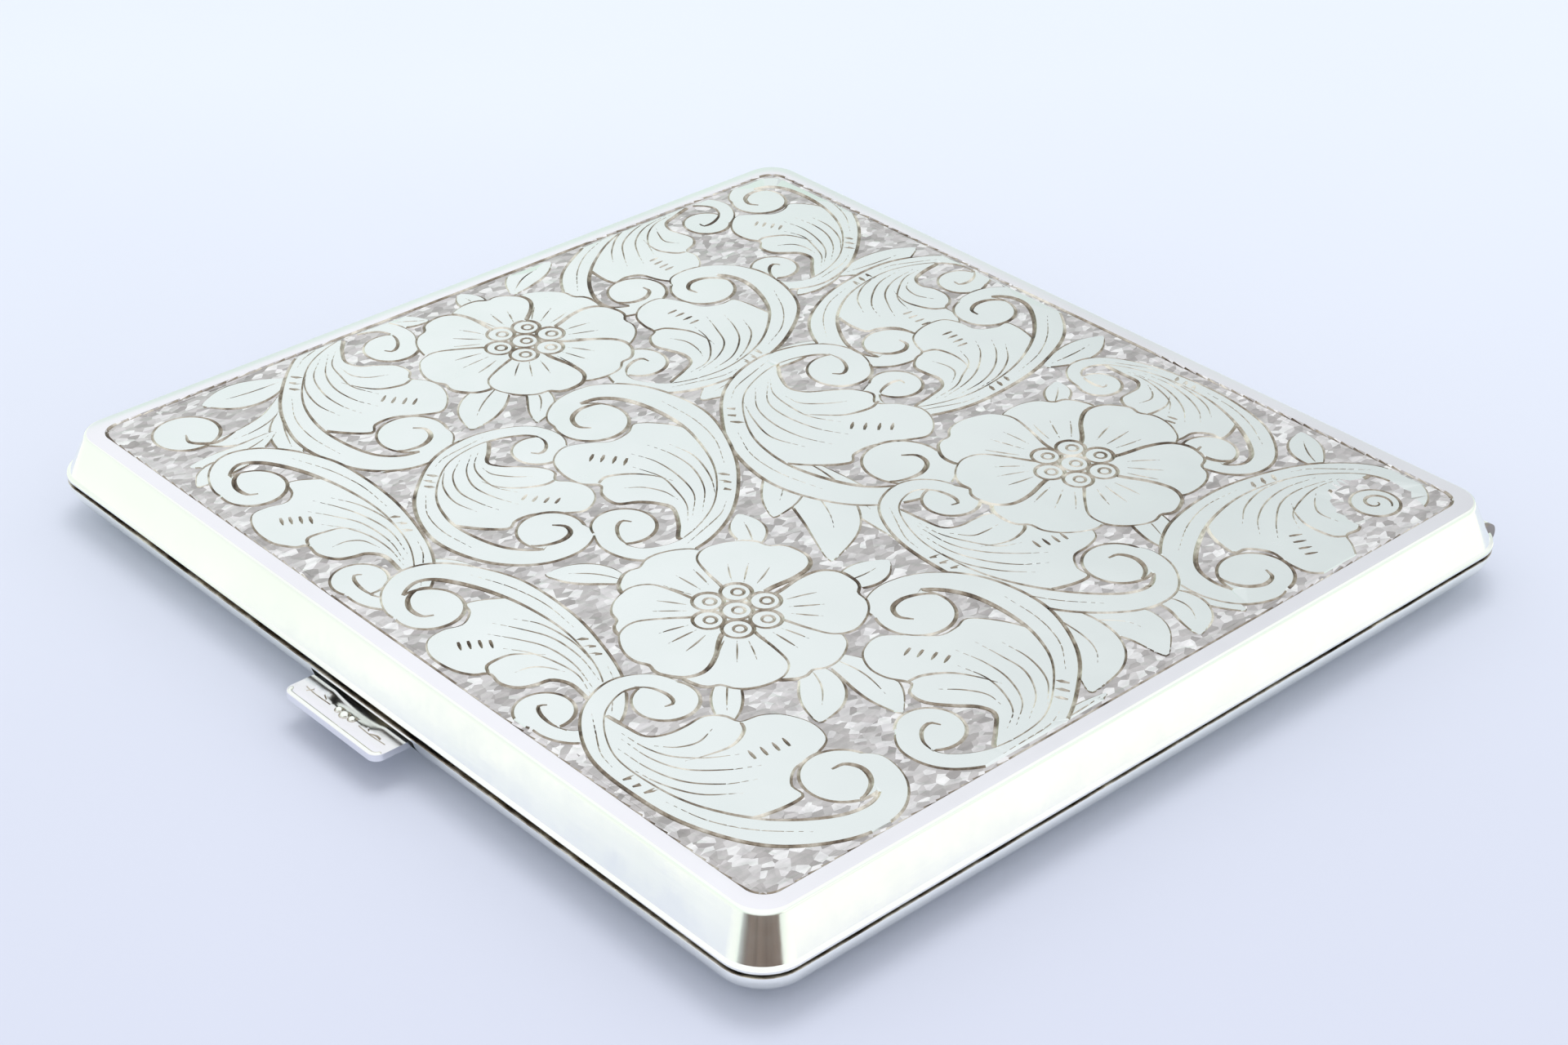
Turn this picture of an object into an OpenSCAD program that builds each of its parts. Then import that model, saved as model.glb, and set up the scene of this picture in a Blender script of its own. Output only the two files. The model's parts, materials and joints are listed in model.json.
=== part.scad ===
/* [Case] */
// Overall width, along the hinge
case_w = 92; // [90:1:110]
// Overall depth, from the catch side to the hinge side
case_d = 85; // [80:1:100]
// Height of the lid above the parting line
lid_h = 4.2; // [4:0.1:6]
// Depth of the tray below the parting line
tray_h = 4; // [4:0.1:6]
// Thickness of the sheet metal
wall = 0.7; // [0.6:0.05:0.8]
// Corner radius in plan, at the parting line
corner_r = 3.8; // [3.6:0.1:5]
// How far the lid's steep sides lean in
lid_bevel = 1.7; // [1:0.1:2]
// How far the tray's rounded underside turns in
tray_turn = 6; // [5:0.5:7]
// Gap between the lid's edge and the tray's edge
part_gap = 0.24; // [0.1:0.02:0.3]

/* [Hinge] */
// Outer radius of the knuckles
knuckle_r = 1.05; // [0.95:0.05:1.05]
// Radius of the hinge pin
pin_r = 0.45; // [0.4:0.05:0.5]
// Gap between the ends of two knuckles
knuckle_gap = 0.12; // [0.08:0.02:0.2]

/* [Catch] */
// Width of the thumb tab
tab_w = 12.2; // [10:0.2:14]
// How far the thumb tab stands out
tab_out = 3.1; // [2.5:0.1:4]
// Thickness of the tab's plate
tab_t = 0.75; // [0.6:0.05:0.8]
// Inward travel that frees the lid
tab_travel = 0.6; // [0.5:0.05:0.7]

/* [Bands] */
// Width of an elastic band
band_w = 10; // [8:1:14]
// Thickness of an elastic band
band_t = 0.5; // [0.4:0.1:0.6]
// Distance between the two keepers of a band, centre to centre
band_span = 70; // [60:1:70]

/* [Hidden] */

SILVER = [0.88, 0.89, 0.88];
GILT = [0.85, 0.72, 0.42];
STEEL = [0.62, 0.63, 0.65];
ELASTIC = [0.86, 0.82, 0.72];

// Heights: the case rests on z = 0
part_z = tray_h;
top_z = tray_h + lid_h;
lid_z = part_z + part_gap / 2;
rim_z = part_z - part_gap / 2;

// Outline layers of the two shells
LAYERS = 7;
HULL_FN = 32;
SKIN = 0.01;

// Hinge line, just inside the back edge, and the barrel of nine knuckles along it
knuckle_count = 9;
axis_y = case_d / 2 - 0.5;
barrel_half = case_w / 2 - 2.5;
pitch = 2 * barrel_half / knuckle_count;
bore_r = pin_r + 0.03;
gutter_r = knuckle_r + 0.1;
gutter_half = case_w / 2 - 1.7;
bearer_half = case_w / 2 - 4.2;
bearer_h = 2.35;
bearer_in = 2.9;
plug_t = 0.4;

// Bezel strips that the lid closes over
bezel_foot = 0.8;
bezel_lip = 1.2;
bezel_in = 1.6;
bezel_up = 1.1;
bezel_down = 1.2;
bezel_gap = 9.5;

// Catch, from the parting line and the front edge inwards
front_y = -case_d / 2;
slot_w = tab_w + 1.2;
slot_top = 0.55;
slot_low = 1.75;
tab_top = 0.8;
bar_w = tab_w + 4.2;
bar_near = 1.45;
bar_far = 2.6;
leaf_t = 0.25;
leaf_h = 1.4;
leaf_y = front_y + bar_far + 0.05;
leaf_near = 4;
leaf_far = 23;
rivet_x = 21;
rivet_r = 0.42;
nib_w = 4.8;
nib_top = 2;
strike_near = 0.9;
strike_far = 1.95;
strike_low = 0.9;
strike_top = 1.4;
nib_low = 1.5;
nib_near = strike_far - tab_travel / 2;
nib_t = 0.5;

// Bands and the keepers that hold their ends
keeper_rod = 0.5;
keeper_w = 1.4;
band_lift = 0.6;

// How far the outline has come in at a share t of the lid's height
function lid_inset(t) = lid_bevel * pow(t, 1.5);

// Underside of the tray: a quarter of an ellipse, as a share t of its arc
function turn_inset(t, reach) = reach * (1 - cos(90 * t));
function turn_depth(t, depth) = depth * sin(90 * t);

// Inner face of the tray's wall at a depth d below the parting line
function tray_inner(d) = wall + (tray_turn - wall) * (1 - sqrt(1 - pow(d / (tray_h - wall), 2)));

// Inner face of the lid's wall at a height h above the parting line
function lid_inner(h) = wall + lid_inset(h / (lid_h - wall));

// One thin layer of a shell: the case's outline moved in by inset
module layer(z, inset, r) {
    x = case_w / 2 - inset - r;
    y = case_d / 2 - inset - r;
    for (sx = [-1, 1], sy = [-1, 1])
        translate([sx * x, sy * y, z]) cylinder(h = SKIN, r = r, $fn = HULL_FN);
}

// The lid as a solid block, shrunk all round by the thickness t
module lid_block(t) {
    hull() {
        for (k = [0 : LAYERS]) {
            share = k / LAYERS;
            inset = lid_inset(share);
            layer(part_z + share * (lid_h - t) - SKIN, inset + t, corner_r - t - 0.6 * inset);
        }
    }
}

// The tray as a solid block, shrunk all round by the thickness t
module tray_block(t) {
    hull() {
        for (k = [0 : LAYERS]) {
            share = k / LAYERS;
            inset = turn_inset(share, tray_turn - t);
            layer(part_z - turn_depth(share, tray_h - t), inset + t, corner_r - t);
        }
    }
}

// Everything above or below the parting line
module above(z) {
    translate([-case_w, -case_d, z]) cube([2 * case_w, 2 * case_d, 3 * lid_h]);
}

module below(z) {
    translate([-case_w, -case_d, z - 3 * tray_h]) cube([2 * case_w, 2 * case_d, 3 * tray_h]);
}

// A rod along X, centred on the hinge line
module rod_x(r, x0, x1) {
    translate([x0, axis_y, part_z]) rotate([0, 90, 0]) cylinder(h = x1 - x0, r = r, $fn = 64);
}

module box(lo, hi) {
    translate(lo) cube(hi - lo);
}

// Lid: a shallow pressed cover with steep, slightly rounded sides
module lid_shell() {
    color(SILVER) difference() {
        lid_block(0);
        lid_block(wall);
        below(lid_z);
        rod_x(gutter_r, -gutter_half, gutter_half);
    }
}

// Tray: a shallow pressed base with a rounded underside and the catch's slot
module tray_shell() {
    color(SILVER) difference() {
        tray_block(0);
        tray_block(wall);
        above(rim_z);
        rod_x(gutter_r, -gutter_half, gutter_half);
        box([-slot_w / 2, front_y - 1, part_z - slot_low], [slot_w / 2, front_y + 2, part_z - slot_top]);
    }
}

// Outline of a bezel strip, as inset from the edge and height from the parting line
BEZEL = [
    [bezel_foot, -bezel_down], [bezel_in, -bezel_down], [bezel_in, bezel_up],
    [bezel_lip, bezel_up], [bezel_lip, 0.1 - part_gap], [bezel_foot, -part_gap]
];

// A bezel strip along Y on the right side
module side_bezel() {
    y0 = front_y + corner_r + 0.5;
    run = case_d - 2 * corner_r - 1.6;
    translate([case_w / 2, y0 + run, part_z]) rotate([90, 0, 0])
        linear_extrude(run) mirror([1, 0]) polygon(BEZEL);
}

// A bezel strip along X, right of the catch
module front_bezel() {
    run = case_w / 2 - corner_r - 0.6 - bezel_gap;
    translate([bezel_gap, front_y, part_z]) rotate([90, 0, 90]) linear_extrude(run) polygon(BEZEL);
}

module tray_bezel_right() {
    color(GILT) side_bezel();
}

module tray_bezel_left() {
    color(GILT) mirror([1, 0, 0]) side_bezel();
}

module tray_bezel_front_right() {
    color(GILT) front_bezel();
}

module tray_bezel_front_left() {
    color(GILT) mirror([1, 0, 0]) front_bezel();
}

// Grooved bars that carry the knuckles, fitted against the inside of the back wall
module bearer(side, wall_points) {
    outline = concat(wall_points, [[bearer_in, bearer_h], [bearer_in, part_gap / 2]]);
    difference() {
        translate([-bearer_half, case_d / 2, part_z]) rotate([90, 0, 90])
            linear_extrude(2 * bearer_half) polygon([for (p = outline) [-p[0], side * p[1]]]);
        rod_x(gutter_r, -gutter_half, gutter_half);
    }
}

module tray_hinge_bearer() {
    depths = [part_gap / 2, bearer_h / 2, bearer_h];
    color(GILT) bearer(-1, [for (d = depths) [tray_inner(d), d]]);
}

module lid_hinge_bearer() {
    heights = [part_gap / 2, bearer_h / 2, bearer_h];
    color(GILT) bearer(1, [for (h = heights) [lid_inner(h), h]]);
}

// One knuckle with the foot that joins it to its bearer: side is -1 on the tray, 1 on the lid
module knuckle(place, side) {
    x0 = -barrel_half + place * pitch + knuckle_gap / 2;
    x1 = x0 + pitch - knuckle_gap;
    foot_x0 = max(x0, -bearer_half);
    foot_x1 = min(x1, bearer_half);
    foot_z = side < 0 ? [-0.95, -0.2] : [0.2, 0.95];
    color(SILVER) difference() {
        union() {
            rod_x(knuckle_r, x0, x1);
            box([foot_x0, axis_y - gutter_r - 0.15, part_z + foot_z[0]], [foot_x1, axis_y, part_z + foot_z[1]]);
        }
        rod_x(bore_r, x0 - 1, x1 + 1);
    }
}

module hinge_pin() {
    half = barrel_half - 1;
    color(STEEL) rod_x(pin_r, -half, half);
}

// Plug that closes one end of the barrel: a thin cap on a stub
module plug() {
    color(SILVER) {
        rod_x(bore_r - 0.02, barrel_half - 0.8, barrel_half);
        rod_x(knuckle_r, barrel_half, barrel_half + plug_t);
    }
}

module hinge_plug_right() {
    plug();
}

module hinge_plug_left() {
    mirror([1, 0, 0]) plug();
}

// Thumb tab: lip, plate through the slot, and the cross bar that stops it inside
module thumb_tab() {
    lip_r = 0.55;
    edge_r = 1.5;
    z0 = part_z - tab_top - tab_t;
    outer_y = front_y - tab_out;
    color(SILVER) difference() {
        union() {
            translate([0, 0, z0]) linear_extrude(tab_t) union() {
                translate([-tab_w / 2, outer_y + edge_r]) square([tab_w, tab_out + bar_far - edge_r]);
                translate([-tab_w / 2 + edge_r, outer_y]) square([tab_w - 2 * edge_r, edge_r + 1]);
                for (sx = [-1, 1]) translate([sx * (tab_w / 2 - edge_r), outer_y + edge_r]) circle(edge_r, $fn = 48);
            }
            hull() for (sx = [-1, 1], drop = [0, 0.7])
                translate([sx * (tab_w / 2 - edge_r - drop), outer_y + lip_r, z0 + lip_r / 2 - drop])
                    sphere(lip_r, $fn = 24);
            box([-bar_w / 2, front_y + bar_near, z0], [bar_w / 2, front_y + bar_far, z0 + tab_t]);
        }
        translate([0, front_y - 0.5, z0 + tab_t + 5.7]) rotate([90, 0, 0]) cylinder(h = 1.6, r = 6, $fn = 96);
    }
}

// Hooked nib that stands on the cross bar and holds the lid's strike down
module catch_nib() {
    y1 = front_y + bar_far;
    color(SILVER) union() {
        box([-nib_w / 2, y1 - nib_t, part_z - tab_top], [nib_w / 2, y1, part_z + nib_top]);
        box([-nib_w / 2, front_y + nib_near, part_z + nib_low], [nib_w / 2, y1, part_z + nib_top]);
    }
}

// Strike: the small bar inside the lid's front wall that the nib holds
module lid_strike() {
    color(SILVER) box([-nib_w / 2 - 1, front_y + strike_near, part_z + strike_low],
                      [nib_w / 2 + 1, front_y + strike_far, part_z + strike_top]);
}

// Leaf springs that push the thumb tab back out
module leaf(sx) {
    z0 = part_z - tab_top - tab_t / 2 - leaf_h / 2;
    color(STEEL) difference() {
        box([min(sx * leaf_near, sx * leaf_far), leaf_y, z0],
            [max(sx * leaf_near, sx * leaf_far), leaf_y + leaf_t, z0 + leaf_h]);
        rivet_rod(sx, rivet_r + 0.04, front_y, leaf_y + 1);
    }
}

module rivet_rod(sx, r, y0, y1) {
    translate([sx * rivet_x, y1, part_z - tab_top - tab_t / 2])
        rotate([90, 0, 0]) cylinder(h = y1 - y0, r = r, $fn = 48);
}

module leaf_spring_left() {
    leaf(-1);
}

module leaf_spring_right() {
    leaf(1);
}

// Blocks on the front bezels that the leaf springs are riveted to
module anchor(sx) {
    z0 = part_z - tab_top - tab_t / 2 - leaf_h / 2;
    x0 = min(sx * (rivet_x - 2), sx * (rivet_x + 2));
    color(SILVER) difference() {
        box([x0, front_y + bezel_in, z0 + 0.1], [x0 + 4, leaf_y, z0 + leaf_h - 0.1]);
        rivet_rod(sx, rivet_r + 0.04, front_y, leaf_y + 1);
    }
}

module spring_anchor_left() {
    anchor(-1);
}

module spring_anchor_right() {
    anchor(1);
}

module spring_rivets() {
    color(STEEL) for (sx = [-1, 1]) {
        rivet_rod(sx, rivet_r, front_y + bezel_in, leaf_y + leaf_t);
        rivet_rod(sx, 0.65, leaf_y + leaf_t, leaf_y + leaf_t + 0.25);
    }
}

// A flat elastic band along Y; z is its lower face
module band(z) {
    half = band_span / 2 - keeper_w / 2;
    color(ELASTIC) box([-band_w / 2, -half, z], [band_w / 2, half, z + band_t]);
}

// Two staple-shaped keepers, from the sheet at height z towards side (1 up, -1 down)
module keepers(z, side) {
    leg_x = band_w / 2 + 0.4;
    reach = band_lift + band_t + 0.1 + keeper_rod;
    color(GILT) for (sy = [-1, 1]) translate([0, sy * band_span / 2, z]) mirror([0, 0, side < 0 ? 1 : 0]) {
        for (sx = [-1, 1]) translate([sx * leg_x - keeper_rod / 2, -keeper_w / 2, 0])
            cube([keeper_rod, keeper_w, reach]);
        translate([-leg_x, -keeper_w / 2, reach - keeper_rod]) cube([2 * leg_x, keeper_w, keeper_rod]);
    }
}

module tray_band() {
    band(wall + band_lift);
}

module lid_band() {
    band(top_z - wall - band_lift - band_t);
}

module tray_band_keepers() {
    keepers(wall, 1);
}

module lid_band_keepers() {
    keepers(top_z - wall, -1);
}

tray_shell();
tray_bezel_left();
tray_bezel_right();
tray_bezel_front_left();
tray_bezel_front_right();
tray_hinge_bearer();
for (k = [1 : 5]) knuckle(2 * k - 2, -1);
hinge_pin();
hinge_plug_left();
hinge_plug_right();
spring_anchor_left();
spring_anchor_right();
spring_rivets();
leaf_spring_left();
leaf_spring_right();
tray_band();
tray_band_keepers();
lid_shell();
lid_hinge_bearer();
for (k = [1 : 4]) knuckle(2 * k - 1, 1);
lid_strike();
lid_band();
lid_band_keepers();
thumb_tab();
catch_nib();
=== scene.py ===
import json
import math
import random

import bmesh
import bpy
import numpy as np
from mathutils import Matrix, Vector, kdtree
from mathutils.geometry import delaunay_2d_cdt


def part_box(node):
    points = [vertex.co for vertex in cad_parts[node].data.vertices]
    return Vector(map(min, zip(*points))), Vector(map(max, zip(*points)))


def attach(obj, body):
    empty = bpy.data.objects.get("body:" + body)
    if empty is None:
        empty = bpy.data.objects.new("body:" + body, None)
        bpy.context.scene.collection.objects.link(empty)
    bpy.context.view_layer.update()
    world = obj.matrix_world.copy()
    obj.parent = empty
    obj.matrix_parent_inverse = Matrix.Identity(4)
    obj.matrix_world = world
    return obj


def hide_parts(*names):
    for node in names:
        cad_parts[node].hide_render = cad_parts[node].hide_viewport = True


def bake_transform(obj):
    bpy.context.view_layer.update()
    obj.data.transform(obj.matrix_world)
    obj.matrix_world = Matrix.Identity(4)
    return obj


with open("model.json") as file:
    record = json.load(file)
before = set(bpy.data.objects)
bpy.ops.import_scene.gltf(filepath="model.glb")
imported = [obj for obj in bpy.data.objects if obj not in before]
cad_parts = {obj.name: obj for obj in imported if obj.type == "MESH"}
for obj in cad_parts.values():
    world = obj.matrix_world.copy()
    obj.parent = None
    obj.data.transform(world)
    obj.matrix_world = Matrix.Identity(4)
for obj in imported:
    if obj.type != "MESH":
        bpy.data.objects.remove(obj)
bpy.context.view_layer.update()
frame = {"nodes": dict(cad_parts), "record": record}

MM = 0.001
RND = random.Random(7)

# ---------------------------------------------------------------- sizes, in mm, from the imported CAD
LID_LO, LID_HI = (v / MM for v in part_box("lid_shell"))
TRAY_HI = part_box("tray_shell")[1] / MM
HALF_X, HALF_Y = LID_HI.x, -LID_LO.y
TOP, LID_Z, RIM_Z = LID_HI.z, LID_LO.z, TRAY_HI.z
PART_Z = (LID_Z + RIM_Z) / 2
LID_H, TRAY_H = TOP - PART_Z, PART_Z
WALL, CORNER = 0.7, 3.8
LEAN = 1.7            # how far the lid's sides lean in from the parting line to the top
TURN = 6.0            # how far the tray's sides turn in to the flat underside
BORDER = 3.2          # inset of the engraved border line
BORDER_R = 1.88       # corner radius of the engraved border line
INNER_BEND = 1.2      # the lid's inside stands steeper near its edge, clear of the bezels and the nib
# the round gutter that the hinge barrel lies in
AXIS_Y, GUTTER_R, GUTTER_HALF = HALF_Y - 0.5, 1.15, HALF_X - 1.7


# ---------------------------------------------------------------- materials
def mix_rgb(nt, kind, fac, a, b):
    m = nt.nodes.new("ShaderNodeMix")
    m.data_type, m.blend_type = "RGBA", kind
    for socket, value in ((m.inputs[0], fac), (m.inputs[6], a), (m.inputs[7], b)):
        if isinstance(value, (int, float)):
            socket.default_value = value
        elif isinstance(value, tuple):
            socket.default_value = (*value, 1)
        else:
            nt.links.new(value, socket)
    return m.outputs[2]


def ramp(nt, value, stops):
    r = nt.nodes.new("ShaderNodeValToRGB")
    nt.links.new(value, r.inputs[0])
    while len(r.color_ramp.elements) < len(stops):
        r.color_ramp.elements.new(0.5)
    for e, (at, c) in zip(r.color_ramp.elements, stops):
        e.position = at
        e.color = (*c, 1) if isinstance(c, tuple) else (c, c, c, 1)
    return r.outputs[0]


def vector_math(nt, operation, vector, other=(0, 0, 0)):
    m = nt.nodes.new("ShaderNodeVectorMath")
    m.operation = operation
    m.inputs[1].default_value = other
    nt.links.new(vector, m.inputs[0])
    return m.outputs["Value"]


def share_of(nt, value, zero_at, one_at, smooth=True):
    """0 at zero_at and beyond, 1 at one_at and beyond."""
    span = nt.nodes.new("ShaderNodeMapRange")
    if smooth:
        span.interpolation_type = "SMOOTHSTEP"
    low, high = sorted((zero_at, one_at))
    span.inputs["From Min"].default_value, span.inputs["From Max"].default_value = low, high
    if zero_at > one_at:
        span.inputs["To Min"].default_value, span.inputs["To Max"].default_value = 1.0, 0.0
    nt.links.new(value, span.inputs["Value"])
    return span.outputs[0]


def height_of(nt, vector):
    split = nt.nodes.new("ShaderNodeSeparateXYZ")
    nt.links.new(vector, split.inputs[0])
    return split.outputs["Z"]


def coords(nt, scale=(1, 1, 1)):
    t = nt.nodes.new("ShaderNodeTexCoord")
    m = nt.nodes.new("ShaderNodeMapping")
    m.inputs["Scale"].default_value = scale
    nt.links.new(t.outputs["Object"], m.inputs[0])
    return m.outputs[0]


def noise(nt, scale, detail=3.0, rough=0.5, stretch=(1, 1, 1)):
    n = nt.nodes.new("ShaderNodeTexNoise")
    n.inputs["Scale"].default_value = scale
    n.inputs["Detail"].default_value = detail
    n.inputs["Roughness"].default_value = rough
    nt.links.new(coords(nt, stretch), n.inputs["Vector"])
    return n.outputs[0]


def voronoi(nt, scale, output="Color", feature="F1", stretch=(1, 1, 1)):
    v = nt.nodes.new("ShaderNodeTexVoronoi")
    v.feature = feature
    v.inputs["Scale"].default_value = scale
    nt.links.new(coords(nt, stretch), v.inputs["Vector"])
    return v.outputs[output]


def bump(nt, height, strength, distance, onto=None):
    b = nt.nodes.new("ShaderNodeBump")
    b.inputs["Strength"].default_value = strength
    b.inputs["Distance"].default_value = distance
    nt.links.new(height, b.inputs["Height"])
    if onto is not None:
        nt.links.new(onto, b.inputs["Normal"])
    return b.outputs[0]


def material(name, metallic=1.0, **sockets):
    m = bpy.data.materials.new(name)
    m.use_nodes = True
    p = m.node_tree.nodes["Principled BSDF"]
    p.inputs["Metallic"].default_value = metallic
    for k, v in sockets.items():
        p.inputs[k].default_value = v
    return m, m.node_tree, p.inputs


def polished(name, light, dark, rough=(0.10, 0.22), wave=0.35):
    """Polished precious metal: faint tone changes, hairline scratches both ways and a gently uneven surface."""
    m, nt, put = material(name)
    tone = ramp(nt, noise(nt, 55, 4), [(0.35, dark), (0.65, light)])
    nt.links.new(tone, put["Base Color"])
    nt.links.new(ramp(nt, noise(nt, 260, 5, 0.65), [(0.3, rough[0]), (0.7, rough[1])]), put["Roughness"])
    uneven = bump(nt, noise(nt, 120, 2), wave, 0.00008)
    across = bump(nt, noise(nt, 900, 2, 0.6, (0.06, 1.6, 1)), 0.10, 0.00002, uneven)
    along = bump(nt, noise(nt, 900, 2, 0.6, (1.6, 0.06, 1)), 0.10, 0.00002, across)
    nt.links.new(along, put["Normal"])
    return m


# Three tinted copies of one silver: the sides' faint green tint, the leaves' darker mint and the rim's lavender
# are painted reflection colours.
SILVER = polished("silver_polished", (0.975, 0.985, 0.940), (0.935, 0.955, 0.900))
LEAF = polished("silver_leaf", (0.845, 0.895, 0.875), (0.795, 0.850, 0.830), (0.16, 0.28), 0.40)
RIM = polished("silver_rim", (0.905, 0.905, 0.935), (0.86, 0.86, 0.89), (0.12, 0.24), 0.30)
GILT = polished("gilt_wash", (0.86, 0.73, 0.45), (0.78, 0.64, 0.36), (0.26, 0.42))


def make_groove():
    """The cut lines, and the edges at the parting gap: tarnish at the bottom of the cuts, with painted shade
    and painted glints in random patches along them; on the edges, painted shade of the gap.
    """
    m, nt, put = material("silver_cut_line_and_painted_shade")
    # tarnish mixed with painted shade and painted glints: near black to pale at random
    tarnish_glint_and_shade = ramp(nt, noise(nt, 300, 4, 0.65), [(0.34, (0.11, 0.085, 0.065)), (0.46, (0.33, 0.28, 0.22)),
                                               (0.56, (0.55, 0.51, 0.44)), (0.66, (0.84, 0.80, 0.70))])
    nt.links.new(tarnish_glint_and_shade, put["Base Color"])
    nt.links.new(ramp(nt, noise(nt, 800, 3), [(0.3, 0.22), (0.7, 0.5)]), put["Roughness"])
    return m


def make_ground():
    """The ground between the leaves: small flat cuts at all angles; the bright and dull cells of its colour are
    painted glints and painted dark reflections.
    """
    m, nt, put = material("silver_cut_ground")
    glint_cells = nt.nodes.new("ShaderNodeSeparateColor")
    nt.links.new(voronoi(nt, 1500, stretch=(1, 0.7, 1)), glint_cells.inputs[0])
    # painted glints and painted dark reflections, cell by cell
    tone = ramp(nt, glint_cells.outputs[0], [(0.0, (0.47, 0.445, 0.435)), (0.30, (0.60, 0.575, 0.565)),
                                       (0.58, (0.72, 0.695, 0.69)), (0.78, (0.84, 0.82, 0.82)),
                                       (0.92, (0.98, 0.97, 0.965))])
    streak = ramp(nt, noise(nt, 1500, 3, 0.6, (1, 0.25, 1)), [(0.35, 0.80), (0.62, 1.0)])
    tone = mix_rgb(nt, "MULTIPLY", 0.8, tone, streak)
    nt.links.new(tone, put["Base Color"])
    nt.links.new(ramp(nt, glint_cells.outputs[1], [(0.0, 0.30), (1.0, 0.55)]), put["Roughness"])
    lines = bump(nt, noise(nt, 2600, 2, 0.5, (1, 0.3, 1)), 0.5, 0.00006)
    nt.links.new(lines, put["Normal"])
    return m


def make_steel():
    m, nt, put = material("spring_steel_blued")
    tone = ramp(nt, noise(nt, 200, 4), [(0.3, (0.40, 0.41, 0.44)), (0.7, (0.58, 0.58, 0.60))])
    nt.links.new(tone, put["Base Color"])
    nt.links.new(ramp(nt, noise(nt, 1400, 3, 0.6, (0.08, 1, 1)), [(0.3, 0.22), (0.7, 0.40)]), put["Roughness"])
    nt.links.new(bump(nt, noise(nt, 2200, 2, 0.5, (0.05, 1, 1)), 0.3, 0.00002), put["Normal"])
    return m


def make_elastic():
    """Woven elastic: ribs along the band, fine picks across, slightly soiled."""
    m, nt, put = material("elastic_woven", 0.0, Roughness=0.85)
    put["Sheen Weight"].default_value = 0.3
    rib = nt.nodes.new("ShaderNodeTexWave")
    rib.bands_direction = "X"
    rib.inputs["Scale"].default_value = 260
    rib.inputs["Distortion"].default_value = 0.6
    nt.links.new(coords(nt), rib.inputs["Vector"])
    pick = nt.nodes.new("ShaderNodeTexWave")
    pick.bands_direction = "Y"
    pick.inputs["Scale"].default_value = 620
    pick.inputs["Distortion"].default_value = 1.2
    nt.links.new(coords(nt), pick.inputs["Vector"])
    weave = mix_rgb(nt, "MULTIPLY", 0.6, rib.outputs[0], pick.outputs[0])
    tone = ramp(nt, noise(nt, 140, 4), [(0.3, (0.60, 0.52, 0.38)), (0.7, (0.76, 0.69, 0.55))])
    shade = ramp(nt, weave, [(0.0, (0.62, 0.60, 0.56)), (0.6, (1.0, 1.0, 1.0))])
    nt.links.new(mix_rgb(nt, "MULTIPLY", 0.8, tone, shade), put["Base Color"])
    nt.links.new(bump(nt, weave, 0.7, 0.00008), put["Normal"])
    return m


CUTS_AND_PAINTED_SHADE, GROUND, STEEL, ELASTIC = make_groove(), make_ground(), make_steel(), make_elastic()


# ---------------------------------------------------------------- mesh helpers
def make_object(name, verts, faces, mats, which=None, smooth=None):
    """An object from points in mm. which gives each face's material; smooth is the angle above which edges
    are crisp."""
    mesh = bpy.data.meshes.new(name)
    mesh.from_pydata([Vector(v) * MM for v in verts], [], faces)
    for m in mats:
        mesh.materials.append(m)
    if which is not None:
        mesh.polygons.foreach_set("material_index", np.array(which, np.int32))
    if smooth is not None:
        mesh.polygons.foreach_set("use_smooth", np.ones(len(faces), bool))
        mesh.set_sharp_from_angle(angle=math.radians(smooth))
    mesh.update()
    o = bpy.data.objects.new(name, mesh)
    bpy.context.scene.collection.objects.link(o)
    return o


def outline(inset, radius, z, steps=12, along=8):
    """A ring round the case, anticlockwise, moved in by inset."""
    x, y = HALF_X - inset - radius, HALF_Y - inset - radius
    pts = []
    for k, (cx, cy) in enumerate(((x, -y), (x, y), (-x, y), (-x, -y))):
        for s in range(steps + 1):
            a = math.radians(-90 + 90 * k + 90 * s / steps)
            pts.append((cx + radius * math.cos(a), cy + radius * math.sin(a), z))
        nx, ny = ((x, y), (-x, y), (-x, -y), (x, -y))[k]
        end = math.radians(90 * k)
        start = pts[-1]
        stop = (nx + radius * math.cos(end), ny + radius * math.sin(end))
        for s in range(1, along):
            t = s / along
            pts.append((start[0] + (stop[0] - start[0]) * t, start[1] + (stop[1] - start[1]) * t, z))
    return pts


def loft(rings, close=True):
    """Faces that join rings of equal length; with close, the first and last rings are filled."""
    n = len(rings[0])
    verts = [p for r in rings for p in r]
    faces = []
    for k in range(len(rings) - 1):
        for i in range(n):
            j = (i + 1) % n
            faces.append((k * n + i, k * n + j, (k + 1) * n + j, (k + 1) * n + i))
    if close:
        faces.append(tuple(range(n))[::-1])
        faces.append(tuple(range((len(rings) - 1) * n, len(rings) * n)))
    return verts, faces


def cutter_rod(r, x0, x1, y, z, n=48):
    turns = [2 * math.pi * k / n for k in range(n)]
    ring0 = [(x0, y + r * math.cos(a), z + r * math.sin(a)) for a in turns]
    ring1 = [(x1, p[1], p[2]) for p in ring0]
    return loft([ring0, ring1])


def cutter_box(lo, hi):
    a, b, c = lo
    d, e, f = hi
    return loft([[(a, b, c), (d, b, c), (d, e, c), (a, e, c)], [(a, b, f), (d, b, f), (d, e, f), (a, e, f)]])


def fix_normals(o):
    bm = bmesh.new()
    bm.from_mesh(o.data)
    bmesh.ops.recalc_face_normals(bm, faces=bm.faces)
    bm.to_mesh(o.data)
    bm.free()


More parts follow.
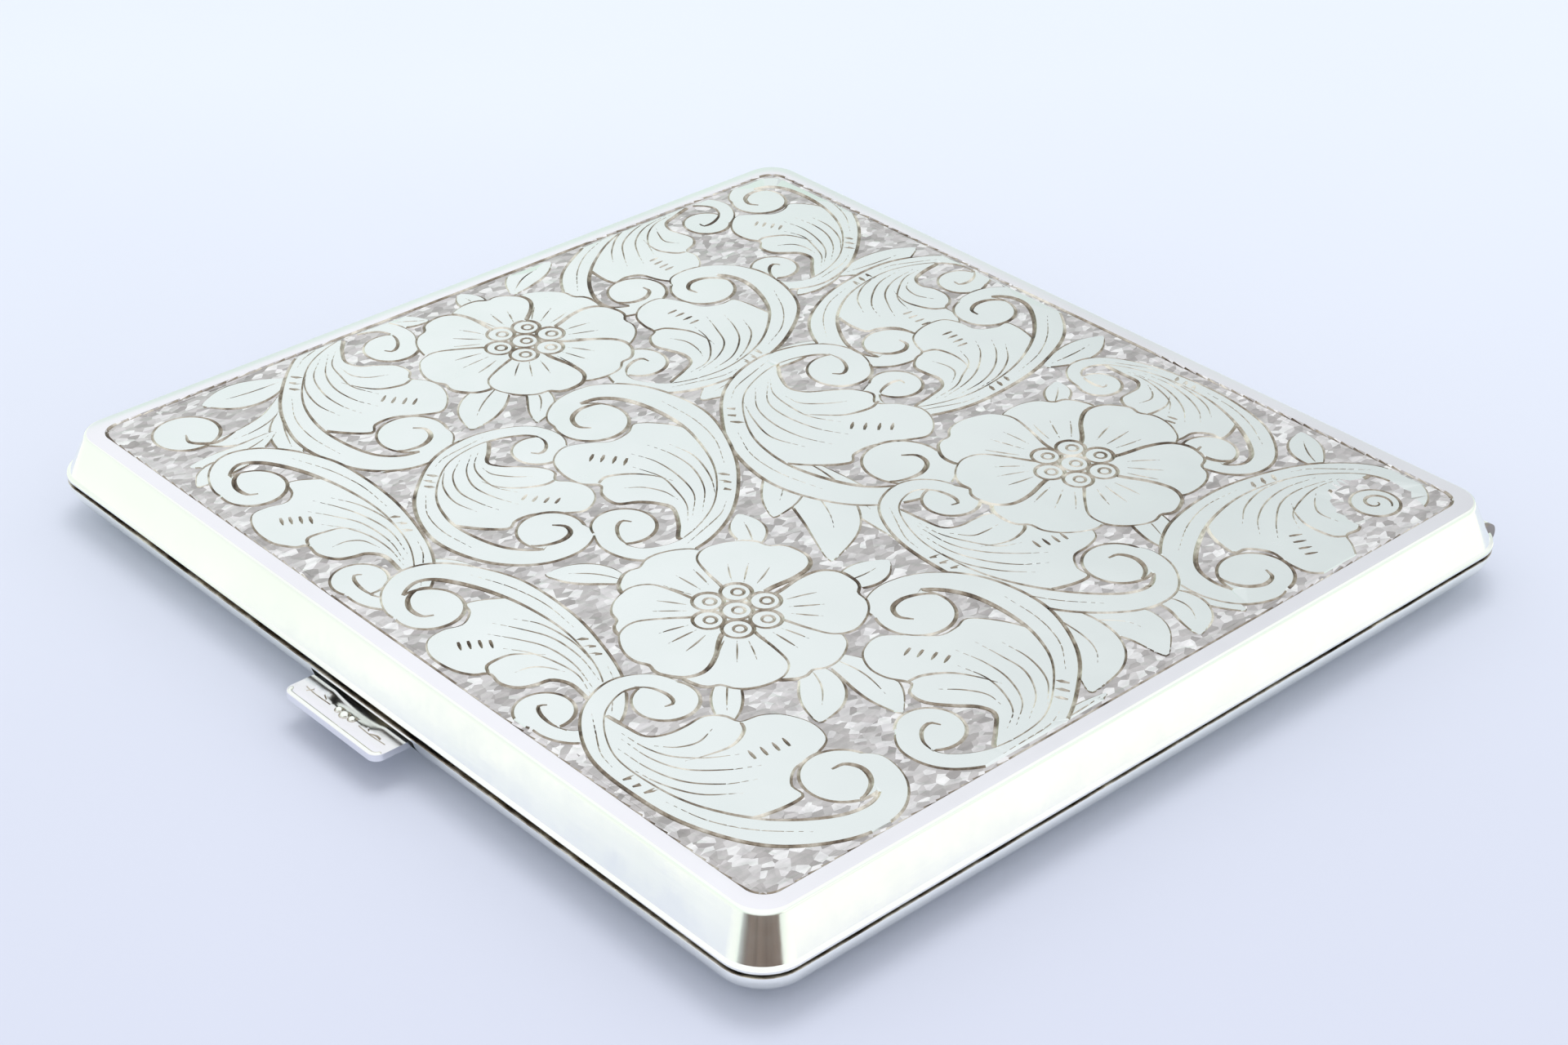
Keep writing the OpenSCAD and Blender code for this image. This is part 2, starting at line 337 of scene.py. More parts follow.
def carve(o, cutters, smooth):
    """Cuts closed shapes out of o."""
    fix_normals(o)
    tools = []
    for verts, faces in cutters:
        t = make_object("cutter", verts, faces, [])
        fix_normals(t)
        tools.append(t)
        mod = o.modifiers.new("cut", "BOOLEAN")
        mod.operation, mod.solver, mod.object = "DIFFERENCE", "EXACT", t
    bake_modifiers(o)
    for t in tools:
        bpy.data.objects.remove(t)
    o.data.polygons.foreach_set("use_smooth", np.ones(len(o.data.polygons), bool))
    o.data.set_sharp_from_angle(angle=math.radians(smooth))


class Net:
    """Points and the lines between them that a triangulation has to keep."""

    def __init__(self):
        self.points, self.links = [], []

    def line(self, pts, closed=False):
        first = len(self.points)
        self.points.extend(map(tuple, pts))
        self.links.extend((first + k, first + k + 1) for k in range(len(pts) - 1))
        if closed:
            self.links.append((first + len(pts) - 1, first))
        return first

    def triangles(self):
        """The points, as rows of an array, and the triangles between them."""
        flat, _, faces = delaunay_2d_cdt([Vector(p) for p in self.points], self.links, [], 0, 1e-5)[:3]
        return np.array([tuple(p) for p in flat]), [tuple(f) for f in faces]


def close_plate(verts, faces, which, bottom):
    """Adds a plate's edge and its flat underside, at height bottom, to the faces of its top."""
    edges = {(a, b) for f in faces for a, b in zip(f, f[1:] + f[:1])}
    follow = {a: b for f in faces for a, b in zip(f, f[1:] + f[:1]) if (b, a) not in edges}
    loop = [next(iter(follow))]
    while follow[loop[-1]] != loop[0]:
        loop.append(follow[loop[-1]])
    low = {k: len(verts) + i for i, k in enumerate(loop)}
    verts.extend((verts[k][0], verts[k][1], bottom) for k in loop)
    faces.extend((b, a, low[a], low[b]) for a, b in zip(loop, loop[1:] + loop[:1]))
    faces.append(tuple(low[k] for k in reversed(loop)))
    which.extend([0] * (len(loop) + 1))


def add_piece(o, body, replaces=None):
    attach(o, body)
    if replaces:
        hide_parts(replaces)


def bake_modifiers(o):
    bpy.context.view_layer.update()
    made = bpy.data.meshes.new_from_object(o.evaluated_get(bpy.context.evaluated_depsgraph_get()))
    o.modifiers.clear()
    old, o.data = o.data, made
    bpy.data.meshes.remove(old)


# ---------------------------------------------------------------- curves, in mm
def smooth_line(points, steps=8):
    """A smooth curve through a few points (Catmull-Rom)."""
    p = np.array(points, float)
    p = np.vstack([2 * p[0] - p[1], p, 2 * p[-1] - p[-2]])
    t = np.linspace(0, 1, steps, endpoint=False)[:, None]
    out = [0.5 * (2 * b + (c - a) * t + (2 * a - 5 * b + 4 * c - d) * t**2 + (3 * b - a - 3 * c + d) * t**3)
           for a, b, c, d in zip(p[:-3], p[1:-2], p[2:-1], p[3:])]
    return np.vstack(out + [p[-2:-1]])


def resample(line, step):
    """The same curve, and any further columns, with points a step apart."""
    run = np.concatenate([[0], np.cumsum(np.hypot(*np.diff(line[:, :2], axis=0).T))])
    at = np.linspace(0, run[-1], max(2, int(round(run[-1] / step)) + 1))
    return np.column_stack([np.interp(at, run, line[:, k]) for k in range(line.shape[1])])


def shares(line):
    run = np.concatenate([[0], np.cumsum(np.hypot(*np.diff(line[:, :2], axis=0).T))])
    return run / run[-1]


def normals(line):
    along = np.gradient(line[:, :2], axis=0)
    along /= np.maximum(np.hypot(*along.T), 1e-9)[:, None]
    return np.column_stack([-along[:, 1], along[:, 0]])


def inside(points, poly):
    """Which points lie inside a closed outline."""
    hit = np.zeros(len(points), bool)
    low, high = poly.min(0), poly.max(0)
    near = np.all((points >= low) & (points <= high), axis=1)
    if not near.any():
        return hit
    x, y = points[near].T
    flag = np.zeros(len(x), bool)
    for (ax, ay), (bx, by) in zip(poly, np.roll(poly, -1, axis=0)):
        if ay != by:
            flag ^= ((ay > y) != (by > y)) & (x < (bx - ax) * (y - ay) / (by - ay) + ax)
    hit[near] = flag
    return hit


class Panel:
    """What is engraved: shapes in the order they cover each other, and cuts with the shape each lies on."""

    def __init__(self):
        self.shapes = []   # (outline, group, raised)
        self.cuts = []     # (line, full widths, owner, on shapes only)

    def shape(self, poly, group, raised=True):
        self.shapes.append((np.asarray(poly), group, raised))

    def cut(self, line, widths, only_on=False):
        self.cuts.append((np.asarray(line)[:, :2], np.asarray(widths), len(self.shapes) - 1, only_on))

    def ribbon(self, spine, half, group=None, edge=(0.10, 0.26), tip=0.0, root=0.0, inner=None, centre=None):
        """A raised ribbon along a spine, cut all round. tip and root are the shares over which its ends round
        off; inner gives the widths of the cut on the side that faces centre."""
        mid = resample(smooth_line(spine), 0.12)
        t = shares(mid)
        profile = smooth_line(np.column_stack([np.linspace(0, 1, len(half)), half]))
        wide = np.maximum(np.interp(t, profile[:, 0], profile[:, 1]), 0.0)
        if tip:
            wide = wide * np.sqrt(1 - np.clip((t - 1 + tip) / tip, 0, 1) ** 2)
        if root:
            wide = wide * np.sqrt(1 - np.clip((root - t) / root, 0, 1) ** 2)
        side = normals(mid) * wide[:, None]
        there = np.column_stack([mid + side, t])
        back = np.column_stack([mid - side, t])[::-1]
        ring = resample(np.vstack([there, back]), 0.36)
        self.shape(ring[:, :2], group)
        widths = edge[0] + (edge[1] - edge[0]) * np.abs(np.sin(math.pi * ring[:, 2])) ** 1.5
        if inner is not None:
            on_spine = np.column_stack([np.interp(ring[:, 2], t, mid[:, j]) for j in (0, 1)])
            faces_in = np.hypot(*(ring[:, :2] - centre).T) < np.hypot(*(on_spine - centre).T)
            deep = np.interp(ring[:, 2], np.linspace(0, 1, len(inner)), inner)
            widths = np.where(faces_in, deep, widths)
        self.cut(ring, widths)
        return mid

    def blob(self, points, group=None, widths=(0.12, 0.30), phase=0.0):
        """A raised shape with a smooth closed outline, cut all round, its line swelling twice on the way."""
        p = np.asarray(points, float)
        loop = smooth_line(np.vstack([p[-2:], p, p[:2]]), 8)[16:-8]
        ring = resample(loop, 0.36)
        self.shape(ring[:-1], group)
        swelling = np.abs(np.sin(math.pi * shares(ring) + phase)) ** 1.5
        self.cut(ring, widths[0] + (widths[1] - widths[0]) * swelling)

    def disc(self, c, r, group=None, raised=True, edge=(0.12, 0.26)):
        a = np.linspace(0, 2 * math.pi, max(12, int(2 * math.pi * r / 0.33)) + 1)
        ring = np.column_stack([c[0] + r * np.cos(a), c[1] + r * np.sin(a)])
        self.shape(ring[:-1], group, raised)
        if raised:
            self.cut(ring, edge[0] + (edge[1] - edge[0]) * np.abs(np.sin(0.5 * a + 0.6)))


# ---------------------------------------------------------------- engraved motifs
# The scroll leaf is drawn once, between its small rolled end (ROOT) and its large rolled end (HEAD)
ROOT = np.array([-0.46, 0.72])
HEAD = np.array([0.63, -0.03])
BELLY = 1.09    # how far the scroll's back stands off the line from root to head

BAND = [(-0.36, 0.70), (-0.36, 0.86), (-0.56, 0.95), (-0.80, 0.84), (-0.955, 0.48), (-0.885, 0.02),
        (-0.62, -0.35), (-0.30, -0.58), (0.12, -0.70), (0.58, -0.61), (0.86, -0.38), (0.95, -0.08),
        (0.86, 0.16), (0.70, 0.16), (0.70, 0.04)]
BAND_HALF = [0.03, 0.07, 0.08, 0.08, 0.08, 0.075, 0.08, 0.095, 0.115, 0.135, 0.13, 0.115, 0.095, 0.07, 0.02]
INNER_WIDE = [0.14, 0.20, 0.16, 0.13, 0.14, 0.16, 0.22, 0.30, 0.40, 0.46, 0.40, 0.26, 0.15]
HOOK = [(0.62, -0.36), (0.75, -0.25), (0.81, -0.08), (0.77, 0.06), (0.66, 0.10), (0.57, 0.03)]
HOOK_WIDE = [0.10, 0.26, 0.40, 0.48, 0.42, 0.20]
ROOT_HOOK = [(-0.66, 0.86), (-0.54, 0.85), (-0.44, 0.78), (-0.41, 0.69), (-0.47, 0.64)]
ROOT_HOOK_WIDE = [0.08, 0.24, 0.34, 0.36, 0.16]
BODY = [(0.36, -0.28), (0.17, -0.47), (-0.08, -0.60), (-0.34, -0.56), (-0.62, -0.38), (-0.88, 0.0),
        (-0.94, 0.34), (-0.88, 0.50), (-0.74, 0.38), (-0.60, 0.27), (-0.46, 0.31), (-0.35, 0.43),
        (-0.22, 0.56), (-0.08, 0.58), (0.02, 0.51), (0.14, 0.60), (0.32, 0.64), (0.48, 0.56),
        (0.56, 0.38), (0.46, 0.19), (0.33, 0.02), (0.31, -0.16)]
LAPPET = [(-0.36, 0.02), (-0.20, 0.10), (-0.06, 0.22), (0.04, 0.40), (0.02, 0.52)]
VEINS = [
    [(-0.02, -0.30), (-0.27, -0.34), (-0.53, -0.25), (-0.73, -0.08)],
    [(0.10, -0.14), (-0.12, -0.20), (-0.36, -0.20), (-0.60, -0.09), (-0.78, 0.12)],
    [(0.12, 0.02), (-0.10, -0.05), (-0.36, -0.06), (-0.59, 0.03), (-0.77, 0.24)],
    [(-0.02, 0.14), (-0.24, 0.06), (-0.45, 0.08), (-0.63, 0.15), (-0.77, 0.30)],
    [(-0.16, 0.40), (-0.26, 0.26), (-0.40, 0.17), (-0.54, 0.17)],
]
TICKS = [(0.07, 0.14), (0.15, 0.19), (0.23, 0.25), (0.30, 0.31)]
BAND_TICKS = [(-0.74, -0.22), (-0.68, -0.29), (-0.61, -0.35)]


def vary(points, amount):
    """The same points, each moved a little, as a hand would."""
    return [(x + RND.uniform(-amount, amount), y + RND.uniform(-amount, amount)) for x, y in points]


def swell(line, thin, thick):
    return thin + (thick - thin) * np.sin(math.pi * shares(line))


def scroll(panel, root, head, belly, flip=False, ticks=4):
    """A scroll leaf from its root roll to its head roll; belly is how far its back stands off, in mm."""
    root, head = np.array(root, float), np.array(head, float)
    length = np.hypot(*(head - root))
    e1 = (head - root) / length
    e2 = np.array([e1[1], -e1[0]]) * (-1 if flip else 1)
    base = np.hypot(*(HEAD - ROOT))
    f1 = (HEAD - ROOT) / base
    f2 = np.array([f1[1], -f1[0]])
    scale = length / base
    size = math.sqrt(scale * belly / BELLY)

    def place(points):
        d = np.asarray(points, float) - ROOT
        return root + np.outer(d @ f1, e1) * scale + np.outer(d @ f2, e2) * (belly / BELLY)

    def free_cut(points, wide, only_on=True):
        line = resample(smooth_line(place(points)), 0.34)
        panel.cut(line, np.interp(shares(line), np.linspace(0, 1, len(wide)), wide), only_on)

    leaf_group, roll_group = object(), object()
    panel.blob(place(vary(BODY, 0.012)), leaf_group, (0.16, 0.42), 0.5)
    for vein in VEINS:
        free_cut(vary(vein, 0.015), [0.05, 0.15, 0.18, 0.13, 0.05])
    free_cut(vary(LAPPET, 0.015), [0.06, 0.16, 0.24, 0.32, 0.26])
    for x, y in TICKS[:ticks]:
        free_cut([(x - 0.022, y + 0.045), (x, y), (x + 0.022, y - 0.045)], [0.10, 0.34, 0.20])
    panel.disc(root, 0.235 * size, roll_group, edge=(0.15, 0.34))
    panel.disc(head, 0.285 * size, roll_group, edge=(0.15, 0.36))
    panel.ribbon(place(vary(BAND, 0.008)), [h * size for h in BAND_HALF], roll_group, (0.15, 0.34), tip=0.03,
                 root=0.03, inner=INNER_WIDE, centre=place([(0.05, 0.02)])[0])
    free_cut([(-0.95, 0.50), (-0.93, 0.30), (-0.90, 0.05), (-0.83, -0.10)], [0.05, 0.12, 0.12, 0.05])
    free_cut([(-0.50, -0.45), (-0.25, -0.62), (0.05, -0.69), (0.40, -0.67)], [0.05, 0.12, 0.12, 0.05])
    for x, y in BAND_TICKS:
        free_cut([(x - 0.026, y - 0.016), (x + 0.026, y + 0.016)], [0.20, 0.42])
    free_cut(HOOK, HOOK_WIDE)
    free_cut(ROOT_HOOK, ROOT_HOOK_WIDE)


def leaf(panel, points, half):
    """A small pointed leaf along a few points, with a mid vein."""
    halves = [0.15 * half, 0.75 * half, half, 0.8 * half, 0.1 * half]
    mid = panel.ribbon(points, halves, None, (0.08, 0.24), tip=0.05)
    line = resample(mid[int(len(mid) * 0.10):int(len(mid) * 0.74)], 0.34)
    panel.cut(line, swell(line, 0.05, 0.16), True)


PETAL = [(0.12, 0.14), (0.34, 0.42), (0.54, 0.80), (0.72, 0.99), (0.87, 0.90), (0.965, 0.60), (0.985, 0.38),
         (0.96, 0.18), (1.0, -0.06), (0.99, -0.36), (0.925, -0.68), (0.82, -0.93), (0.66, -0.98), (0.48, -0.72),
         (0.30, -0.38), (0.12, -0.14)]
PETAL_VEINS = (-0.6, -0.1, 0.45)


def flower(panel, centre, petals):
    """A flower of overlapping petals round a cluster of seven beads. petals are (angle, reach, half width)."""
    centre = np.array(centre, float)
    for angle, reach, half in petals:
        a = math.radians(angle)
        out = np.array([math.cos(a), math.sin(a)])
        side = np.array([-out[1], out[0]])
        turn_over = RND.choice((-1, 1))
        edge = [centre + out * reach * u + side * half * v * turn_over for u, v in PETAL]
        panel.blob(edge, None, (0.16, 0.44), 1.2)
        for v in PETAL_VEINS:
            line = smooth_line([centre + out * reach * u + side * half * v * w * turn_over
                                for u, w in ((0.40, 0.42), (0.52, 0.58), (0.68 - 0.08 * abs(v), 0.70))])
            line = resample(line, 0.34)
            panel.cut(line, swell(line, 0.05, RND.uniform(0.13, 0.20)), True)
    beads = [centre] + [centre + 2.6 * np.array([math.cos(a), math.sin(a)])
                        for a in (math.radians(20 + 60 * k) for k in range(6))]
    for c in beads:
        panel.disc(c, 1.26, edge=(0.24, 0.38))
        panel.disc(c + (0.1, 0.1), 0.5, edge=(0.22, 0.30))


def roll(panel, centre, radius, hook):
    """A rolled leaf end: a ball with a thick comma curling into it."""
    panel.disc(centre, radius, edge=(0.15, 0.36))
    line = resample(smooth_line(hook), 0.34)
    panel.cut(line, swell(line, 0.14, 0.46), True)


def rosette(panel, centre):
    """A sunk round pocket with a small coiled shoot in it."""
    panel.disc(centre, 3.9, raised=False)
    panel.disc(centre, 2.1, edge=(0.16, 0.34))
    a = np.linspace(0.4, 7.4, 30)
    coil = np.array(centre) + np.column_stack([np.cos(a), np.sin(a)]) * (1.5 - 0.17 * a)[:, None]
    line = resample(coil, 0.30)
    panel.cut(line, swell(line, 0.14, 0.34), True)


SCROLLS = [
    # root, head, belly
    ((-26.8, 25.0), (-38.5, 33.5), 9.0),
    ((-12.8, 36.2), (-8.3, 22.8), 9.8),
    ((-2.8, 17.8), (-7.3, 33.6), 9.0),
    ((9.3, 31.2), (23.4, 29.6), 7.4, True),
    ((39.0, 33.8), (38.6, 17.6), 10.6),
    ((-38.2, 26.4), (-31.6, 12.0), 8.6),
    ((-21.0, 3.4), (-28.0, 17.0), 10.6),
    ((-8.0, 15.8), (7.3, 8.8), 13.2),
    ((14.4, 7.4), (30.2, 10.6), 9.6),
    ((-38.0, -11.6), (-24.2, -19.4), 10.6),
    ((-14.8, -13.0), (-4.0, -20.3), 10.9),
    ((-0.6, -15.4), (-15.6, -6.6), 11.0),
    ((-8.4, -36.2), (-25.8, -34.6), 8.2),
    ((15.4, -36.4), (-1.4, -34.6), 8.6),
    ((20.4, -28.8), (36.0, -25.4), 11.0),
    ((36.2, -16.6), (24.4, -6.6), 12.0),
]
LEAVES = [
    ([(-39.0, 3.0), (-41.0, 6.0), (-41.8, 9.8)], 1.6),
    ([(-21.6, 28.5), (-21.0, 33.0), (-20.8, 38.0)], 1.8),
    ([(-21.8, 29.0), (-21.8, 26.0), (-21.2, 22.8)], 1.1),
    ([(-13.0, 9.5), (-13.2, 14.0), (-13.0, 18.4)], 1.4),
    ([(-13.0, 10.5), (-12.8, 7.0), (-12.2, 3.0)], 1.5),
    ([(3.8, 30.0), (3.9, 34.0), (3.4, 38.2)], 1.6),
    ([(9.2, 25.4), (7.8, 27.4), (6.4, 28.8)], 1.2),
    ([(31.5, 34.5), (29.0, 35.8), (26.6, 38.0)], 1.5),
    ([(23.5, 18.0), (27.5, 17.2), (32.2, 15.2)], 1.6),
    ([(34.0, 9.5), (37.5, 12.0), (41.6, 13.0)], 1.3),
    ([(34.0, 9.0), (38.0, 10.0), (41.4, 7.6)], 1.6),
    ([(27.0, 1.0), (33.0, 2.0), (37.0, 5.0), (41.6, 3.6)], 2.6),
    ([(28.0, 0.6), (33.0, 1.0), (37.5, 0.0), (41.0, -4.4)], 2.4),
    ([(-3.0, 2.0), (4.0, 1.6), (10.0, 1.6), (15.8, 0.0)], 1.9),
    ([(-2.0, 1.6), (4.0, 0.4), (10.0, -2.0), (14.6, -6.4)], 2.6),
    ([(-1.0, 1.0), (3.0, -1.0), (6.6, -5.4)], 1.8),
    ([(17.2, -9.0), (17.8, -6.0), (17.6, -2.8)], 1.7),
    ([(9.0, -9.6), (6.6, -8.2), (4.2, -7.2)], 1.5),
    ([(23.5, -16.0), (28.0, -15.4), (33.4, -16.8)], 1.8),
    ([(23.5, -17.6), (27.0, -19.0), (30.2, -22.2)], 1.8),
    ([(20.5, -22.6), (23.0, -25.0), (26.0, -27.6)], 1.2),
    ([(6.2, -20.4), (3.4, -21.8), (0.8, -24.8)], 1.5),
    ([(-26.6, -7.4), (-24.4, -11.6), (-21.4, -15.2)], 2.0),
    ([(-25.0, -6.4), (-21.6, -7.4), (-18.6, -10.2)], 1.2),
    ([(-38.0, -1.0), (-40.0, -0.8), (-42.4, -0.8)], 1.3),
    ([(-40.0, -6.0), (-41.0, -7.4), (-42.4, -9.4)], 1.1),
    ([(-20.8, -17.0), (-20.4, -21.0), (-20.8, -25.2)], 0.9),
    ([(-39.4, -22.0), (-39.6, -26.0), (-40.4, -30.2)], 2.2),
    ([(-38.0, -23.0), (-34.5, -26.6), (-33.6, -31.0), (-35.4, -34.4)], 1.3),
    ([(-35.0, -25.6), (-31.6, -27.4), (-27.2, -29.2)], 1.4),
    ([(-32.4, -28.0), (-31.4, -32.0), (-32.2, -36.8)], 1.2),
    ([(-29.6, -32.0), (-30.2, -35.0), (-29.0, -38.0)], 1.3),
    ([(-8.0, -31.6), (-5.8, -30.4), (-3.4, -28.2)], 1.2),
    ([(-6.8, -31.6), (-5.8, -34.6), (-5.0, -38.0)], 0.9),
    ([(41.8, -3.6), (42.0, -7.6), (41.8, -11.6)], 0.8),
]
FLOWERS = [
    ((-31.0, -1.8), [(118, 9.9, 4.3), (170, 9.2, 4.1), (68, 10.2, 4.3), (222, 9.8, 4.3), (20, 10.2, 4.2),
                     (275, 10.8, 4.4), (-30, 10.0, 4.3)]),
    ((17.2, 19.4), [(147, 11.0, 4.5), (97, 11.2, 4.6), (200, 11.8, 4.8), (-62, 11.2, 4.8), (42, 11.2, 4.4),
                    (-8, 10.8, 4.3), (248, 10.4, 4.2)]),
    ((14.9, -16.8), [(185, 10.4, 4.5), (128, 10.2, 4.6), (-2, 10.4, 4.2), (58, 10.3, 4.6), (-44, 10.6, 4.3),
                     (232, 9.8, 4.2), (-88, 10.4, 4.4)]),
]

# ---------------------------------------------------------------- engraved panel
CUT_DEPTH = 0.42      # depth of a cut as a share of its width
GROUND_DEPTH = 0.08   # how far the ground lies below the leaves
FACET = 0.60          # spacing of the ground's small flat cuts
PANEL_T = 0.35        # thickness of the engraved plate
WIDEST_HALF = 0.24    # half the width of the widest cut
LINE_HALF = 0.14      # half the width of the border line


def visible(panel, points, owner, only_on, fence):
    """Which points of a cut show: inside the fence and not under a later shape; with only_on, only on raised
    shapes."""
    ok = inside(points, fence)
    group = panel.shapes[owner][1] if owner >= 0 else None
    on = np.zeros(len(points), bool)
    for j, (poly, g, raised) in enumerate(panel.shapes):
        if not only_on and j != owner and (j > owner or (group is not None and g is group)):
            ok &= ~inside(points, poly)
        elif only_on:
            if j > owner:
                ok &= ~inside(points, poly)
            elif raised:
                on |= inside(points, poly)
            else:
                on &= ~inside(points, poly)
    return ok & on if only_on else ok


def runs(flags):
    """Start and stop of each run of True."""
    edge = np.flatnonzero(np.diff(np.concatenate([[0], flags.astype(int), [0]])))
    return zip(edge[::2], edge[1::2])


def build_panel():
    panel = Panel()
    for points, half in LEAVES:
        leaf(panel, points, half)
    for args in SCROLLS:
        scroll(panel, *args)
    rosette(panel, (38.2, 33.4))
    roll(panel, (-37.2, -33.8), 2.9, [(-34.6, -30.6), (-34.2, -32.8), (-35.6, -34.4), (-37.0, -34.0)])
    for centre, petals in FLOWERS:
        flower(panel, centre, petals)

    edge_ring = np.array([p[:2] for p in outline(BORDER, BORDER_R, 0, 10, 60)])
    fence = np.array([p[:2] for p in outline(BORDER + 0.55, BORDER_R - 0.4, 0, 10, 4)])
    net, samples, ends = Net(), [], []

    def groove(pts, half):
        off = normals(pts) * half[:, None]
        a, b, c = net.line(pts + off), net.line(pts), net.line(pts - off)
        n = len(pts) - 1
        net.links.extend([(a, b), (b, c), (a + n, b + n), (b + n, c + n)])
        fine = resample(np.column_stack([pts, half]), 0.10)
        samples.extend(map(tuple, fine))
        ends.extend([pts[0], pts[-1]])

    for pts, wide, owner, only_on in panel.cuts:
        ok = visible(panel, pts, owner, only_on, fence)
        for a, b in runs(ok):
            if b - a >= 2:
                half = np.maximum(wide[a:b] / 2, 0.03)
                groove(pts[a:b], half)
    # the strip where the leaves stop, the border line and the plate's edge
    net.line(fence, True)
    net.line(edge_ring, True)
    for inset, r in ((BORDER + LINE_HALF, BORDER_R - 0.08), (BORDER + 2 * LINE_HALF, BORDER_R - 0.16)):
        net.line([p[:2] for p in outline(inset, r, 0, 10, 60)], True)
    border = np.array([p[:2] for p in outline(BORDER + LINE_HALF, BORDER_R - 0.08, 0, 10, 300)])
    samples.extend((x, y, LINE_HALF) for x, y in border)

    tree = kdtree.KDTree(len(samples))
    for k, s in enumerate(samples):
        tree.insert((s[0], s[1], 0), k)
    tree.balance()

    def cut_share(p):
        """How deep in a groove the point lies: 0 outside, 1 on the centre line."""
        best, half = 0.0, 0.0
        for _, k, d in tree.find_range((p[0], p[1], 0), WIDEST_HALF):
            h = samples[k][2]
            if d < h and (1 - d / h) * h > best * half:
                best, half = 1 - d / h, h
        return best, half

    def raised(pts):
        up = np.zeros(len(pts), bool)
        for poly, g, is_up in panel.shapes:
            up[inside(pts, poly)] = is_up
        return up & inside(pts, fence)

    # facet points of the ground
    x_max, y_max = HALF_X - BORDER - 0.7, HALF_Y - BORDER - 0.7
    grid = np.array([(x + RND.uniform(-0.36, 0.36) * FACET, y + RND.uniform(-0.36, 0.36) * FACET)
                     for x in np.arange(-x_max, x_max, FACET) for y in np.arange(-y_max, y_max, FACET)])
    free = [p for p in grid[~raised(grid)] if tree.find((p[0], p[1], 0))[2] > 0.34]
    net.points.extend(map(tuple, free))

    xy, faces = net.triangles()
    up = raised(xy)
    z = np.where(up, 0.0, -GROUND_DEPTH)
    end_tree = kdtree.KDTree(len(ends))
    for k, e in enumerate(ends):
        end_tree.insert((e[0], e[1], 0), k)
    end_tree.balance()
    for k, p in enumerate(xy):
        near, _, dist = tree.find((p[0], p[1], 0))
        if dist < WIDEST_HALF:
            share, half = cut_share(p)
            if share > 0.04:
                if end_tree.find((p[0], p[1], 0))[2] > 0.001:
                    z[k] = min(z[k], -2 * half * CUT_DEPTH * share)
                continue
        if not up[k] and dist > 0.3:
            z[k] -= RND.uniform(-0.04, 0.05)
    z[~inside(xy, edge_ring * 0.99995)] = 0.0
    mid = np.array([xy[list(f)].mean(0) for f in faces])
    top = raised(mid)
    which = []
    for k, p in enumerate(mid):
        _, j, d = tree.find((p[0], p[1], 0))
        in_cut = d < WIDEST_HALF and cut_share(p)[0] > 0.03
        which.append(1 if in_cut else (0 if top[k] else 2))
    verts = [(p[0], p[1], TOP + h) for p, h in zip(xy, z)]
    close_plate(verts, faces, which, TOP - PANEL_T)
    return make_object("lid_engraved_panel", verts, faces, [LEAF, CUTS_AND_PAINTED_SHADE, GROUND], which)


add_piece(build_panel(), "lid")


# ---------------------------------------------------------------- lid cover: rim, sides, edge, gilt inside
def opened(rings, first, last, amount):
    """Moves part of a shell's edge up or down along the catch side, where the two halves don't quite meet."""
    def moved(x, y, z):
        share = max(0.0, 1 - (x / (HALF_X - 2)) ** 6) if y < -HALF_Y + 1.2 else 0.0
        return x, y, z + amount * share

    for k in range(first, last):
        rings[k] = [moved(*p) for p in rings[k]]


def build_lid():
    rings = [outline(BORDER, BORDER_R, TOP - PANEL_T - 0.01), outline(BORDER, BORDER_R, TOP)]
    rings.append(outline(BORDER - 0.25, BORDER_R + 0.15, TOP))
    for inset, drop in ((1.84, 0.0), (1.77, 0.02), (1.73, 0.05)):
        rings.append(outline(inset, CORNER - 0.6 * inset, TOP - drop))
    for t in np.linspace(0.975, 0.16, 14):
        i = LEAN * t
        rings.append(outline(i, CORNER - 0.6 * i, PART_Z + t * LID_H))
    edge = LID_Z + 0.03
    lip = edge + 0.42
    profile = [(0.06, lip), (0.12, lip - 0.05), (0.06, lip - 0.11), (0.01, lip - 0.16), (0.0, edge + 0.16),
               (0.01, edge + 0.08), (0.05, edge + 0.03), (0.12, edge), (0.58, edge), (0.66, edge + 0.03),
               (0.70, edge + 0.08)]
    for inset, z in profile:
        rings.append(outline(inset, CORNER - inset, z))
    outside = len(rings) - 3
    opened(rings, len(rings) - 7, len(rings), 0.10)
    for t in np.linspace(0.16, 1.0, 10):
        i = LEAN * t ** INNER_BEND
        rings.append(outline(WALL + i, CORNER - WALL - 0.6 * i, PART_Z + t * (LID_H - WALL)))
    verts, faces = loft(rings)
    n = len(rings[0])
    # the faces at the lid's lower edge take the dark cut finish: painted shade in the parting gap
    gap_shade_strips = (outside - 1, outside)
    which = [3 if k // n in gap_shade_strips else 1 if k // n > outside else 2 if k // n < 3 else 0
             for k in range(n * (len(rings) - 1))] + [0, 1]
    o = make_object("lid_cover", verts, faces, [SILVER, GILT, RIM, CUTS_AND_PAINTED_SHADE], which)
    carve(o, [cutter_rod(GUTTER_R, -GUTTER_HALF, GUTTER_HALF, AXIS_Y, PART_Z)], 32)
    return o


add_piece(build_lid(), "lid", "lid_shell")


